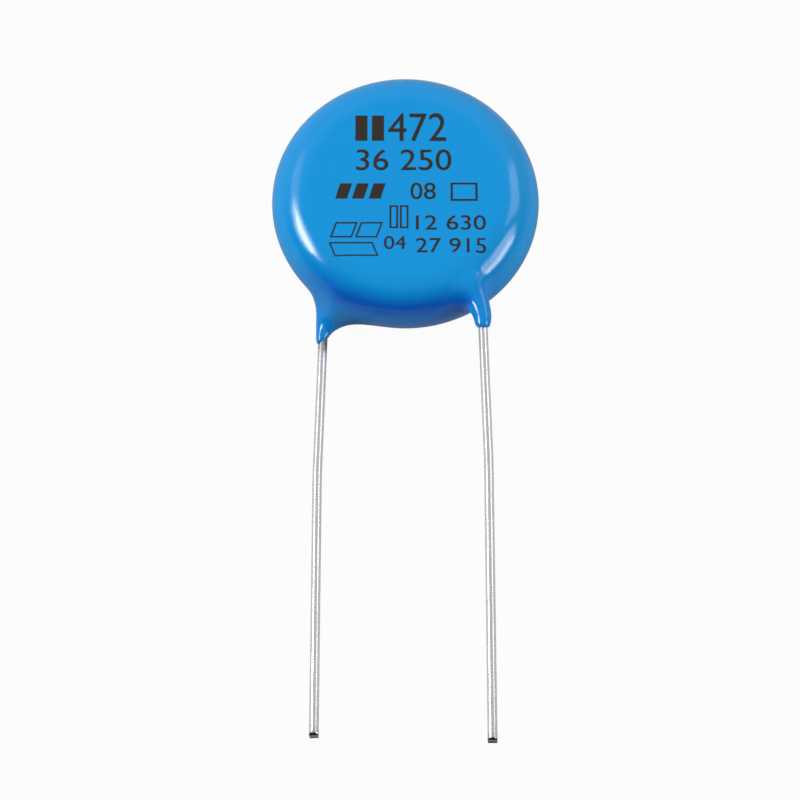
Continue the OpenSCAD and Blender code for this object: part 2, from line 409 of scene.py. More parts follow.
def grow(name, tree, values):
    """Runs a mesh rule on a new piece and keeps what comes out as its plain mesh."""
    piece = bpy.data.objects.new(name, bpy.data.meshes.new(name))
    bpy.context.scene.collection.objects.link(piece)
    rule = piece.modifiers.new("rule", "NODES")
    rule.node_group = tree
    for socket in tree.interface.items_tree:
        if socket.in_out == "INPUT" and socket.name in values:
            rule[socket.identifier] = values[socket.name]
    depsgraph = bpy.context.evaluated_depsgraph_get()
    mesh = bpy.data.meshes.new_from_object(
        piece.evaluated_get(depsgraph), preserve_all_data_layers=True, depsgraph=depsgraph
    )
    piece.modifiers.clear()
    piece.data = mesh
    mesh.name = name
    if mesh.materials[0] is None:
        mesh.materials.pop(index=0)
    if not mesh.polygons:
        raise RuntimeError(f"the rule of {name} gave no faces")
    return piece


def bend_in(radius, start, run):
    """How far a bend that starts at an angle has moved in after a run."""
    turned = sine(start) + run / radius
    return radius * (cosine(start) - root(1.0 - turned * turned))


def of_end(s, end, name):
    """The size of this name that belongs to one lead or to its skirt."""
    return getattr(s, f"{END_NAMES[end]}_{name}")


def lead_path(s):
    """Where the leads' stretches meet, below the middle of the disc."""
    disc_r = s.disc_d / 2
    parallel_from = disc_r + s.parallel_drop
    splay_run = s.splay_bend * sine(s.splay)
    kink_from = disc_r + s.kink_drop
    return SimpleNamespace(
        parallel_from=parallel_from,
        splay_run=splay_run,
        splay_from=parallel_from - splay_run,
        kink_from=kink_from,
        kink_run=s.kink_bend * (sine(s.slant) - sine(s.splay)),
    )


def lead_x(s, path, end, below):
    """Distance of a lead's axis from the middle plane, at a place below the disc's middle."""
    bent = bend_in(s.splay_bend, 0.0, hold(path.parallel_from - below, 0.0, path.splay_run))
    splayed = hold(path.splay_from - below, 0.0, path.splay_from - path.kink_from)
    kinked = bend_in(s.kink_bend, s.splay, hold(path.kink_from - below, 0.0, path.kink_run))
    slanted = most(path.kink_from - path.kink_run - below, 0.0)
    inward = bent + splayed * tangent(s.splay) + kinked + slanted * tangent(s.slant)
    return s.pitch / 2 + end * s.shift - inward


BLEND_REACH = 1.5  # distances that differ by less than this many widths are blended


def blend(a, b, width):
    """The lesser of two distances, rounded by a cubic curve where they are alike."""
    alike = most(1.0 - abs(a - b) / (width * BLEND_REACH), 0.0)
    return least(a, b) - alike * alike * alike * width / 4


# Sizes of the skirts and webs in millimetres
LIP_WALL = 0.02  # wall of coat at a skirt's very end
THIN_WALL = 0.02  # least wall of a skirt where it fades inside the disc
SKIRT_DEPTH = 2.4  # length over which a skirt widens, past its rounded tip
SKIRT_FADE = 0.2  # wall that it loses for each millimetre beyond
SKIRT_END = 8.0  # depth at which it stops inside the disc
WEB_TURN = 0.6  # distance off the lead's axis over which outer web turns to inner web
WEB_STARTS = (-1.0, 1.2)  # depths behind the skirt's drop over which its web grows
WEB_ENDS = (5.6, 7.6)  # distances from the disc's middle over which the webs grow
THIN_WEB = 0.02  # least width of a web


def skirt_distance(s, path, end, x, y, z):
    """Distance from the tapered skirt of coat round a lead, with its rounded end."""
    lip_r = s.wire_d / 2 + LIP_WALL
    off = x - end * lead_x(s, path, end, -y)
    off_z = z - end * s.height
    depth = s.disc_d / 2 + of_end(s, end, "drop") + y + s.end_tilt * off_z
    if end == REAR:
        depth = depth - s.rear_slope * off
    rho = length_of(off, off_z)
    gain = of_end(s, end, "draft") * hold(depth - s.skirt_tip, 0.0, SKIRT_DEPTH)
    fade = SKIRT_FADE * most(depth - s.skirt_tip - SKIRT_DEPTH, 0.0)
    wall = most(of_end(s, end, "wall") - LIP_WALL + gain - fade, THIN_WALL)
    outward = most((rho - lip_r) / wall, 0.0)
    skirt = wall * (length_of(outward, most(1.0 - depth / s.skirt_tip, 0.0)) - 1.0)
    return most(skirt, depth - SKIRT_END)


def web_width(s, path, end, x, y):
    """Width of the web round a lead: more on the inner side, and none under the flat faces."""
    inward = (lead_x(s, path, end, -y) - end * x) / WEB_TURN
    turned = 0.5 + 0.5 * inward / root(1.0 + inward * inward)
    width = between(of_end(s, end, "outer_web"), of_end(s, end, "web"), turned)
    off_tip = smooth(s.disc_d / 2 + of_end(s, end, "drop") + y, *WEB_STARTS)
    off_face = smooth(length_of(x, y), *WEB_ENDS)
    return most(width * off_tip * off_face, THIN_WEB)


def coat_distance_tree():
    """A group that gives the distance of a point from the coat, in millimetres."""
    point = ("point", "Point", "Vector")
    graph, s, _ = new_rule("coat distance", DiscSizes, LeadSizes, CoatSizes, more=[point])
    x, y, z = graph.split(s.point)
    path = lead_path(s)
    edge_r = s.disc_t / 2
    past_flat = most(length_of(x, y) - (s.disc_d / 2 - edge_r), 0.0)
    distance = length_of(past_flat, z) - edge_r
    for end in ENDS:
        skirt = skirt_distance(s, path, end, x, y, z)
        distance = blend(distance, skirt, web_width(s, path, end, x, y))
    graph.tree.interface.new_socket("Distance", in_out="OUTPUT", socket_type="NodeSocketFloat")
    graph.node("NodeGroupOutput", {0: distance})
    return graph.tree


def to_coat(graph, tree, sizes, point):
    """The group's distance of a point from the coat."""
    return graph.value("GeometryNodeGroup", {**sizes, "Point": point}, node_tree=tree)


SLOPE_STEP = 0.002  # how far ahead the slope of the coat's distance is taken, in millimetres


def drawn_to_coat(graph, tree, sizes, point, along):
    """The point, moved along a direction to where the coat's surface is."""
    distance = to_coat(graph, tree, sizes, point)
    ahead = graph.vector("ADD", point, graph.scaled(along, SLOPE_STEP))
    slope = (to_coat(graph, tree, sizes, ahead) - distance) / SLOPE_STEP
    return graph.vector("ADD", point, graph.scaled(along, -distance / slope))


def picked(sizes, tree):
    """Those of the sizes that a tree has inputs for."""
    names = {i.name for i in tree.interface.items_tree if i.in_out == "INPUT"}
    return {name: wire for name, wire in sizes.items() if name in names}


SPARE_CELLS = 4  # mesh cells left free round the coat in its box


def coat_rule(distance_tree, material):
    """Fills a box with the coat's distance, meshes where it is zero and moves the mesh there."""
    graph, s, sizes = new_rule("epoxy coat", DiscSizes, LeadSizes, CoatSizes, CoatMesh)
    known = picked(sizes, distance_tree)
    room = SPARE_CELLS * s.voxel
    disc_r = s.disc_d / 2
    across = disc_r + room
    down = disc_r + most(s.rear_drop, s.front_drop) + s.rear_slope + room
    thick = s.disc_t / 2 + room
    place = graph.value("GeometryNodeInputPosition")
    cube = graph.value(
        "GeometryNodeVolumeCube",
        {
            "Density": -to_coat(graph, distance_tree, known, place),
            "Background": -1.0,
            "Min": graph.join(-across, -down, -thick),
            "Max": graph.join(across, across, thick),
            "Resolution X": 2.0 * across / s.voxel,
            "Resolution Y": (across + down) / s.voxel,
            "Resolution Z": 2.0 * thick / s.voxel,
        },
    )
    skin = graph.value(
        "GeometryNodeVolumeToMesh", {"Volume": cube, "Threshold": 0.0}, resolution_mode="GRID"
    )
    start = graph.node("GeometryNodeRepeatInput", {"Iterations": s.passes})
    end = graph.node("GeometryNodeRepeatOutput")
    start.pair_with_output(end)
    graph.feed(start.inputs["Geometry"], skin)
    normal = graph.value("GeometryNodeInputNormal")
    moved = graph.value(
        "GeometryNodeSetPosition",
        {
            "Geometry": graph.out(start, "Geometry"),
            "Position": drawn_to_coat(graph, distance_tree, known, place, normal),
        },
    )
    graph.feed(end.inputs["Geometry"], moved)
    placed = in_row_frame(graph, graph.out(end, "Geometry"))
    smoothed = graph.value("GeometryNodeSetShadeSmooth", {"Geometry": placed})
    return finish_rule(graph, smoothed, material)


def in_row_frame(graph, mesh):
    """The mesh in metres, with the middle of the disc's thickness at its place."""
    place = graph.value("GeometryNodeInputPosition")
    metres = graph.vector("ADD", graph.scaled(place, 1 / MM), (0.0, 0.0, MID_Z))
    return graph.value("GeometryNodeSetPosition", {"Geometry": mesh, "Position": metres})


def broken_line(value, corners):
    """Follows straight lines from corner to corner, and stays level beyond the last ones."""
    total = corners[0][1]
    for (a, low), (b, high) in zip(corners, corners[1:]):
        total = total + (hold(value, a, b) - a) * ((high - low) / (b - a))
    return total


RINGS = 170  # rings of points along a wire
CUT_RINGS = 10  # the first of them, which close over the cutter's mark
SIDES = 40  # points in a ring
WELD = 0.0005  # distance at which points merge, in millimetres
CUT_ROOM = 1.1  # length that the cut face takes of the wire, against the depth of its mark
# Stretches in millimetres over which the film wears off, from the tip and from the coat's edge
TIP_FILM = (0.25, 0.75)
COAT_FILM = (0.7, 1.7)
# Stretch below the disc over which the painted dark reflection of the coat ends
DARK_REFLECTION_END = (0.9, 1.3)
DARK_REFLECTION_SIDE = (0.0, 0.1)  # where the painted dark reflection of the coat starts, off the wire's axis
# Depth of the cutter's mark behind the tip, from under the wire to over it, in wire radii
CUT_FORM = {
    REAR: ((-1.0, 0.36), (-0.5, 0.0), (0.04, 0.26), (0.16, 0.46), (1.0, 0.86)),
    FRONT: ((-1.0, 0.36), (-0.5, 0.0), (-0.06, 0.22), (0.06, 0.42), (1.0, 0.86)),
}
CUT_LEAN = {REAR: -0.25, FRONT: 0.05}  # how far the mark leans across the wire


def lead_rule(end, wire_paint, cut_paint):
    """Sweeps the wire along its path. Its first rings close over the cutter's mark."""
    graph, s, _ = new_rule(f"{END_NAMES[end]} lead", DiscSizes, LeadSizes)
    path = lead_path(s)
    wire_r = s.wire_d / 2
    reach = s.disc_d / 2 + of_end(s, end, "l")
    index = graph.value("GeometryNodeInputIndex")
    cut_l = CUT_FORM[end][-1][1] * CUT_ROOM * wire_r
    first = CUT_RINGS + 1.0
    share = most(index - first, 0.0) / (RINGS - 1.0 - first)
    shaft = between(reach - cut_l, -s.overrun, share)
    below = shaft + hold(first - index, 0.0, first) * (cut_l / (2.0 * CUT_RINGS))
    axis = graph.join(end * lead_x(s, path, end, below), -below, end * s.height)
    line = graph.value("GeometryNodeCurvePrimitiveLine")
    line = graph.value("GeometryNodeResampleCurve", {"Curve": line, "Count": RINGS})
    line = graph.value("GeometryNodeSetPosition", {"Geometry": line, "Position": axis})
    line = graph.stored(line, "ring", "FLOAT", index)
    line = graph.stored(line, "axis", "FLOAT_VECTOR", graph.value("GeometryNodeInputPosition"))
    section = graph.value(
        "GeometryNodeCurvePrimitiveCircle", {"Resolution": SIDES, "Radius": wire_r}
    )
    tube = graph.value("GeometryNodeCurveToMesh", {"Curve": line, "Profile Curve": section})

    ring = graph.attribute("ring", "FLOAT")
    middle = graph.attribute("axis", "FLOAT_VECTOR")
    off = graph.vector("SUBTRACT", graph.value("GeometryNodeInputPosition"), middle)
    off_x, off_y, off_z = graph.split(off)
    axis_x, axis_y, axis_z = graph.split(middle)
    closing = hold(ring / CUT_RINGS, 0.0, 1.0)
    cut_z = off_z * closing
    height = cut_z / wire_r + CUT_LEAN[end] * off_x / wire_r
    mark = broken_line(height, CUT_FORM[end]) * wire_r
    at_cut = graph.math("LESS_THAN", ring, CUT_RINGS + 0.5)
    at_end = graph.math("GREATER_THAN", ring, RINGS - 1.5)
    y = between(axis_y + off_y, mark - reach, at_cut)
    open_x = off_x * (1.0 - at_end)
    open_z = cut_z * (1.0 - at_end)
    shaped = graph.join(axis_x + open_x, y, axis_z + open_z)
    film, painted_reflection = 1.0 - smooth(reach + axis_y, *TIP_FILM), 0.0
    if end == REAR:
        below_disc = -axis_y - s.disc_d / 2
        film = most(film, 1.0 - smooth(below_disc, *COAT_FILM))
        # Painted reflection: a dark streak on the wire's +x side just below the coat stands in for
        # the coat's dark reflection.
        painted_reflection = smooth(off_x, *DARK_REFLECTION_SIDE) * (1.0 - smooth(below_disc, *DARK_REFLECTION_END))
    wear = graph.join(film, painted_reflection, 0.0)
    tube = graph.stored(tube, "lay", "FLOAT_VECTOR", graph.join(off_x, axis_y, off_z))
    tube = graph.stored(tube, "mark", "FLOAT_VECTOR", graph.join(0.0, 0.0, height))
    tube = graph.stored(tube, "wear", "FLOAT_VECTOR", wear)
    tube = graph.value("GeometryNodeSetPosition", {"Geometry": tube, "Position": shaped})
    tube = graph.value("GeometryNodeMergeByDistance", {"Geometry": tube, "Distance": WELD})
    tube = graph.value("GeometryNodeSetShadeSmooth", {"Geometry": tube})
    cut_face = graph.math("LESS_THAN", ring, CUT_RINGS - 0.1)
    tube = graph.value(
        "GeometryNodeSetShadeSmooth",
        {"Geometry": tube, "Selection": cut_face, "Shade Smooth": False},
    )
    wire = painted(graph, in_row_frame(graph, tube), wire_paint)
    return finish_rule(graph, wire, cut_paint, where=cut_face)


INK_STEP = 0.05  # distance between the points of a printed outline, in millimetres
INK_PASSES = 4  # times that the print is moved down onto the rule


def inked(graph, distance_tree, sizes, film, curves, material):
    """Fills the curves, lays them on the coat's face and gives them the ink's thickness."""
    even = graph.value(
        "GeometryNodeResampleCurve", {"Curve": curves, "Length": INK_STEP}, mode="LENGTH"
    )
    flat = graph.value("GeometryNodeFillCurve", {"Curve": even})
    place = graph.value("GeometryNodeInputPosition")
    x, y, _ = graph.split(place)
    point = graph.join(x, y, sizes["Disc Thickness"] / 2)
    known = picked(sizes, distance_tree)
    for _ in range(INK_PASSES):
        point = drawn_to_coat(graph, distance_tree, known, point, (0, 0, 1))
    laid = graph.value("GeometryNodeSetPosition", {"Geometry": flat, "Position": point})
    raised = graph.value(
        "GeometryNodeExtrudeMesh",
        {"Mesh": laid, "Offset": (0, 0, 1), "Offset Scale": film, "Individual": False},
    )
    under = graph.value("GeometryNodeFlipFaces", {"Mesh": laid})
    both = graph.node("GeometryNodeJoinGeometry")
    graph.feed(both.inputs[0], under)
    graph.feed(both.inputs[0], raised)
    closed = graph.value(
        "GeometryNodeMergeByDistance", {"Geometry": graph.out(both), "Distance": WELD}
    )
    return finish_rule(graph, in_row_frame(graph, closed), material)


# What a row of print is given besides the sizes: key, name and kind of each input
PLACE = (
    ("left", "Left", "Float"),
    ("base", "Base", "Float"),
    ("width", "Width", "Float"),
    ("height", "Height", "Float"),
)
NUMERAL_INPUTS = (("text", "Numerals", "String"), *PLACE)
MARK_INPUTS = (
    ("count", "Count", "Int"),
    ("pitch_x", "Pitch X", "Float"),
    *PLACE,
    ("line", "Line", "Float"),
    ("slope", "Slope", "Float"),
)


def numerals_rule(distance_tree, material):
    """A row of plain numerals, squeezed to the width that the row is given."""
    graph, s, sizes = new_rule(
        "numerals", DiscSizes, LeadSizes, CoatSizes, PrintSizes, more=NUMERAL_INPUTS
    )
    letters = graph.value("GeometryNodeStringToCurves", {"String": s.text, "Size": 1.0})
    letters = graph.value("GeometryNodeRealizeInstances", {0: letters})
    box = graph.node("GeometryNodeBoundBox", {"Geometry": letters, "Use Radius": False})
    low_x, low_y, _ = graph.split(graph.out(box, "Min"))
    high_x, high_y, _ = graph.split(graph.out(box, "Max"))
    wider, taller = s.width / (high_x - low_x), s.height / (high_y - low_y)
    letters = graph.value(
        "GeometryNodeTransform",
        {
            "Geometry": letters,
            "Translation": graph.join(s.left - low_x * wider, s.base - low_y * taller, 0.0),
            "Scale": graph.join(wider, taller, 1.0),
        },
    )
    return inked(graph, distance_tree, sizes, s.film, letters, material)


def marks_rule(distance_tree, material):
    """A row of plain shapes with four sides, filled or in outline, upright or leaning."""
    graph, s, sizes = new_rule(
        "marks", DiscSizes, LeadSizes, CoatSizes, PrintSizes, more=MARK_INPUTS
    )
    outside = graph.value(
        "GeometryNodeCurvePrimitiveQuadrilateral", {"Width": s.width, "Height": s.height}
    )
    inside = graph.value(
        "GeometryNodeCurvePrimitiveQuadrilateral",
        {
            "Width": most(s.width - 2.0 * s.line, 0.0),
            "Height": most(s.height - 2.0 * s.line, 0.0),
        },
    )
    both = graph.node("GeometryNodeJoinGeometry")
    graph.feed(both.inputs[0], inside)
    graph.feed(both.inputs[0], outside)
    hollow = graph.math("GREATER_THAN", s.line, 0.0)
    shape = graph.value(
        "GeometryNodeSwitch",
        {"Switch": hollow, "False": outside, "True": graph.out(both)},
        input_type="GEOMETRY",
    )
    first = graph.join(s.left + s.width / 2, s.base + s.height / 2, 0.0)
    row = graph.value(
        "GeometryNodeMeshLine",
        {"Count": s.count, "Start Location": first, "Offset": graph.join(s.pitch_x, 0.0, 0.0)},
        mode="OFFSET",
    )
    marks = graph.value("GeometryNodeInstanceOnPoints", {"Points": row, "Instance": shape})
    marks = graph.value("GeometryNodeRealizeInstances", {0: marks})
    x, y, z = graph.split(graph.value("GeometryNodeInputPosition"))
    leaning = graph.join(x + (y - s.base) * s.slope, y, z)
    marks = graph.value("GeometryNodeSetPosition", {"Geometry": marks, "Position": leaning})
    return inked(graph, distance_tree, sizes, s.film, marks, material)


def new_material(name):
    material = bpy.data.materials.new(name)
    material.use_nodes = True
    material.node_tree.nodes.clear()
    return material, Graph(material.node_tree)


def principled(graph, **sockets):
    """The material's shader, and its output. A socket's name has _ for its spaces."""
    named = {key.replace("_", " "): value for key, value in sockets.items()}
    shader = graph.value("ShaderNodeBsdfPrincipled", named)
    graph.node("ShaderNodeOutputMaterial", {"Surface": shader})


def bumped(graph, height, strength, distance):
    sockets = {"Strength": strength, "Distance": distance, "Height": height}
    return graph.value("ShaderNodeBump", sockets)


def rgba(colour_value):
    return (*colour_value, 1.0)


def shaded(colour_value, factor):
    """The colour, made lighter or darker."""
    return rgba([factor * value for value in colour_value])


# Where painted shade deepens the coat's colour and painted light lifts its low rim, in millimetres
UP_TO_RIM = (2.9, 3.9)  # heights over which the painted shade deepens towards the lower rim's darkest line
RIM_TO_FACE = (3.9, 4.85)  # heights over which it fades again towards the marked face
TOWARDS_LEADS = (3.5, 7.0)  # distances from the disc's middle towards the leads
RIGHT_OF_RIM = (3.4, 5.6)  # distances to the right over which it fades
LEFT_OF_RIM = (3.0, 6.5)  # distances to the left over which it fades
PAST_DISC = (8.0, 8.7)  # distances from the disc's middle over which the skirts' share of painted shade starts
LOW_RIM = (2.2, 3.5)  # heights over which the painted light of the low rim gives way
OFF_DISC = (7.9, 8.3)  # distances from the disc's middle over which it gives way to the skirts'
LOW_SHADE, SKIRT_SHADE = 0.4, 0.32  # shares of the painted shade's deep colour low down and on a skirt
RIGHT_FADE, LEFT_FADE = 0.75, 0.4  # shares of the rim's painted shade that the two sides lose


def epoxy_paint(settings):
    """Glossy blue epoxy: painted shade and painted light on its rim, a faint unevenness and fine
    pits.
    """
    material, graph = new_material("glossy blue epoxy")
    place = graph.scaled(graph.value("ShaderNodeTexCoord", key="Object"), MM)
    x, y, z = graph.split(place)
    cloud = graph.noise(place, 0.35, 3.0)
    grain = graph.noise(place, 4.0, 4.0)
    radius = length_of(x, y)
    near_leads = smooth(-y, *TOWARDS_LEADS)
    # Painted shade: the deep blue darkens the rounded rim towards the leads, less low down and at
    # the sides, fading by the face.
    low = between(LOW_SHADE, 1.0, smooth(z, *UP_TO_RIM))
    band = low * (1.0 - smooth(z, *RIM_TO_FACE))
    sides = smooth(x, *RIGHT_OF_RIM) * RIGHT_FADE + smooth(-x, *LEFT_OF_RIM) * LEFT_FADE
    rim = band * near_leads * (1.0 - sides)
    # Share of painted shade, on the rim and by a fixed share on the skirts
    thick = between(rim, SKIRT_SHADE, smooth(radius, *PAST_DISC))
    shade = hold(thick + (cloud - 0.5) * 0.16 + (grain - 0.5) * 0.06, 0.0, 1.0)
    base = graph.mix(shade, rgba(settings.blue), rgba(settings.painted_shade_blue))
    # Painted light: a lighter, bluer colour low on the rim towards the leads, off the skirts.
    under = (1.0 - smooth(z, *LOW_RIM)) * near_leads * (1.0 - smooth(radius, *OFF_DISC))
    base = graph.mix(under, base, rgba(settings.painted_light_blue))
    roughness = 0.15 + (grain - 0.5) * 0.05 + (cloud - 0.5) * 0.04
    waves = graph.noise(place, 0.55, 1.0) + graph.noise(place, 7.0, 3.0) * 0.035
    principled(
        graph,
        Base_Color=base,
        Roughness=roughness,
        IOR=1.5,
        Normal=bumped(graph, waves, 0.5, 0.00006),
    )
    return material


def tin_paint(settings):
    """Tinned wire, with fine drawing lines along it and small dull patches."""
    material, graph = new_material("tinned wire")
    lay = graph.kept("lay")
    stretched = graph.vector("MULTIPLY", lay, (9.0, 0.28, 9.0))
    lines = graph.noise(stretched, 1.0, 4.0, 0.6)
    patches = graph.noise(lay, 1.4, 3.0, 0.6)
    dull = smooth(patches, 0.50, 0.72)
    worn, painted_reflection, _ = graph.split(graph.kept("wear"))
    mottle = smooth(graph.noise(lay, 7.0, 3.0, 0.7), 0.40, 0.62)
    # Darkens to the oxide colour where the film lies, and where the rear lead has its painted dark
    # reflection of the coat.
    dark_film_and_reflection = hold(worn * mottle + painted_reflection, 0.0, 1.0)
    bright = rgba(settings.tin)
    grey = shaded(settings.tin, 0.72)
    base = graph.mix(hold((lines - 0.45) * 0.8 + dull * 0.15, 0.0, 1.0), bright, grey)
    base = graph.mix(dark_film_and_reflection * 0.85, base, rgba(settings.film))
    height = lines + patches * 0.4 + worn * mottle * 0.5
    principled(
        graph,
        Base_Color=base,
        Metallic=0.6,
        Roughness=0.18 + dull * 0.10 + (lines - 0.5) * 0.10 + dark_film_and_reflection * 0.1,
        Normal=bumped(graph, height, 0.25, 0.000015),
    )
    return material


# Heights on the cut face, in wire radii, over which the painted highlight on its ledge starts and
# ends
UP_TO_LEDGE = (-0.10, 0.0)
ABOVE_LEDGE = (0.16, 0.26)


def cut_paint(settings):
    """Bare metal that the cutter smeared, with a painted highlight on its ledge and a dark face
    above it.
    """
    material, graph = new_material("cut wire end")
    place = graph.scaled(graph.value("ShaderNodeTexCoord", key="Object"), MM)
    smear = graph.noise(graph.vector("MULTIPLY", place, (3.0, 14.0, 14.0)), 1.0, 3.0)
    _, _, height = graph.split(graph.kept("mark"))
    over = smooth(height, *ABOVE_LEDGE)
    # Painted highlight: the ledge is painted brighter than the bare metal; above it the face is
    # painted nearly black.
    ledge = smooth(height, *UP_TO_LEDGE) * (1.0 - over)
    lower = graph.mix(smear, rgba(settings.cut), shaded(settings.cut, 0.3))
    edged = graph.mix(ledge, lower, shaded(settings.cut, 2.6))
    principled(
        graph,
        Base_Color=graph.mix(over, edged, shaded(settings.cut, 0.05)),
        Metallic=1.0,
        Roughness=0.30 + smear * 0.15,
        Normal=bumped(graph, smear, 0.4, 0.00002),
    )
    return material


def ink_paint(settings):
    """Dull brown-black ink."""
    material, graph = new_material("printing ink")
    place = graph.scaled(graph.value("ShaderNodeTexCoord", key="Object"), MM)
    speck = graph.noise(place, 6.0, 3.0)
    principled(
        graph,
        Base_Color=graph.mix(speck, rgba(settings.ink), shaded(settings.ink, 1.7)),
        Roughness=0.48 + speck * 0.2,
        IOR=1.4,
    )
    return material


# Inner nodes, and their finish: name, light and dark colour, metallic, roughness, scale of grain
INNER_FINISHES = (
    (
        ("ceramic_disc",),
        ("fired ceramic", (0.62, 0.45, 0.28), (0.42, 0.28, 0.16), 0.0, 0.6, 6.0),
    ),
    (
        ("front_electrode", "rear_electrode"),
        ("fired silver", (0.80, 0.79, 0.76), (0.60, 0.59, 0.56), 1.0, 0.3, 12.0),
    ),
    (
        ("front_solder", "rear_solder"),
        ("solder", (0.62, 0.62, 0.64), (0.36, 0.36, 0.38), 1.0, 0.25, 3.0),
    ),
)


def grainy_paint(name, pale, dark, metallic, roughness, scale):
    """Grainy finish of a piece inside the coat."""
    material, graph = new_material(name)
    place = graph.scaled(graph.value("ShaderNodeTexCoord", key="Object"), MM)
    grain = graph.noise(place, scale, 5.0, 0.6)
    principled(
        graph,
        Base_Color=graph.mix(grain, rgba(pale), rgba(dark)),
        Metallic=metallic,
        Roughness=roughness + grain * 0.2,
        Normal=bumped(graph, grain, 0.4, 0.00004),
    )
    return material


# Each row of the print: numerals, left edge, base line, width and height in millimetres
NUMERAL_ROWS = {
    "print_numerals_1": ("472", -1.05, 2.86, 3.5, 1.9),
    "print_numerals_2": ("36 250", -2.95, 0.92, 5.7, 1.4),
    "print_numerals_3": ("08", 0.3, -1.0, 1.5, 1.1),
    "print_numerals_4": ("12 630", 0.62, -3.0, 4.15, 0.95),
    "print_numerals_5": ("27 915", 0.62, -4.48, 4.15, 0.95),
    "print_numerals_6": ("04", -1.28, -4.26, 1.3, 0.85),
}

# Each row of marks: count, pitch, left edge, base line, width, height, line width, slope
MARK_ROWS = {
    "print_marks_1": (2, 1.0, -3.02, 2.9, 0.72, 1.7, 0.0, 0.0),
    "print_marks_2": (2, 0.62, -0.95, -2.9, 0.5, 1.5, 0.1, 0.0),
    "print_marks_3": (3, 1.0, -4.2, -0.95, 0.7, 1.0, 0.0, 0.3),
    "print_marks_4": (1, 1.0, 2.7, -1.1, 1.6, 1.2, 0.12, 0.0),
    "print_marks_5": (2, 1.5, -4.5, -3.5, 1.3, 1.0, 0.09, 0.35),
    "print_marks_6": (1, 1.0, -4.2, -4.7, 2.6, 0.9, 0.09, -0.4),
}


LAMP_TARGET = Vector((0.0, -0.004, MID_Z))


def light(name, shape, azimuth, elevation, distance, width, height, power):
    """A soft box that faces the disc. Azimuth 0 is at the leads' side and 90 at +X."""
    data = bpy.data.lights.new(name, "AREA")
    data.shape = shape
    data.size = width
    data.size_y = height
    data.energy = power
    lamp = bpy.data.objects.new(name, data)
    bpy.context.scene.collection.objects.link(lamp)
    turn, rise = math.radians(azimuth), math.radians(elevation)
    way = Vector(
        (math.sin(turn) * math.cos(rise), -math.cos(turn) * math.cos(rise), math.sin(rise))
    )
    lamp.location = LAMP_TARGET + way * distance
    lamp.rotation_euler = way.to_track_quat("Z", "Y").to_euler()


# Name, shape, azimuth and elevation in degrees, distance, width and height in metres, watts
LAMPS = (
    ("left strip box", "ELLIPSE", -91.0, 36.0, 0.5, 0.26, 0.11, 0.98),
    ("left soft box", "ELLIPSE", -94.0, 35.0, 0.6, 0.345, 0.28, 1.14),
    ("right strip box", "RECTANGLE", 74.0, 22.0, 0.5, 0.22, 0.09, 0.34),
    ("right soft box", "ELLIPSE", 77.0, 29.0, 0.6, 0.367, 0.324, 1.26),
    ("rear left panel", "RECTANGLE", -126.0, 34.0, 0.7, 0.26, 0.26, 0.22),
    ("rear right panel", "RECTANGLE", 120.0, 38.0, 0.7, 0.30, 0.28, 0.48),
)


# The floor keeps this far under the coat's flat back, so that the two never share a plane
FLOOR_GAP = 0.00002
FLOOR_HALF = 3.0  # half of the floor's side, in metres
FLOOR_WHITE = 0.96  # share of plain white in what the camera sees of the floor
MIRRORED_WHITE = 0.05  # share of plain white in what a glossy surface mirrors

# Light from the surroundings: all round, from behind the disc and from overhead
AROUND, BEHIND, OVERHEAD = 0.03, 0.44, 0.20
BEHIND_FROM = (-0.1, 0.6)  # how far back a direction points where the light from behind starts
OVERHEAD_FROM = (0.72, 0.92)  # how far up it points where the light from overhead starts


def white_to_the_camera(graph):
    """1 where the camera, a mirror or glass sees a surface, and 0 where it gives light."""
    path = graph.node("ShaderNodeLightPath")
    seen = most(graph.out(path, "Is Camera Ray"), graph.out(path, "Is Transmission Ray"))
    return seen, graph.out(path, "Is Glossy Ray")


def floor_paint(settings):
    """Pale floor. Most of what the camera sees is plain white, and the rest takes shadow."""
    material, graph = new_material("pale floor")
    place = graph.value("ShaderNodeTexCoord", key="Object")
    mottle = graph.noise(place, 40.0, 3.0)
    paint = graph.mix(mottle, rgba(settings.floor), shaded(settings.floor, 0.97))
    matt = graph.value("ShaderNodeBsdfDiffuse", {"Color": paint})
    glow = graph.value("ShaderNodeEmission", {"Color": rgba((1, 1, 1)), "Strength": 1.0})
    seen, glossy = white_to_the_camera(graph)
    white = most(seen * FLOOR_WHITE, glossy * MIRRORED_WHITE)
    surface = graph.value("ShaderNodeMixShader", {0: white, 1: matt, 2: glow})
    graph.node("ShaderNodeOutputMaterial", {"Surface": surface})
    return material


def studio_world():
    """Soft grey surroundings that light the object, behind a white background."""
    world = bpy.data.worlds.new("studio")
    world.use_nodes = True
    world.node_tree.nodes.clear()
    graph = Graph(world.node_tree)
    seen, glossy = white_to_the_camera(graph)
    _, back, up = graph.split(graph.value("ShaderNodeTexCoord", key="Generated"))
    overhead = smooth(up, *OVERHEAD_FROM)
    behind = smooth(back, *BEHIND_FROM) * (1.0 - overhead)
    studio = AROUND + behind * BEHIND + overhead * OVERHEAD
    strength = between(studio, 1.0, most(seen, glossy * MIRRORED_WHITE))
    sky = graph.value("ShaderNodeBackground", {"Color": rgba((1, 1, 1)), "Strength": strength})
    graph.node("ShaderNodeOutputWorld", {"Surface": sky})
    return world


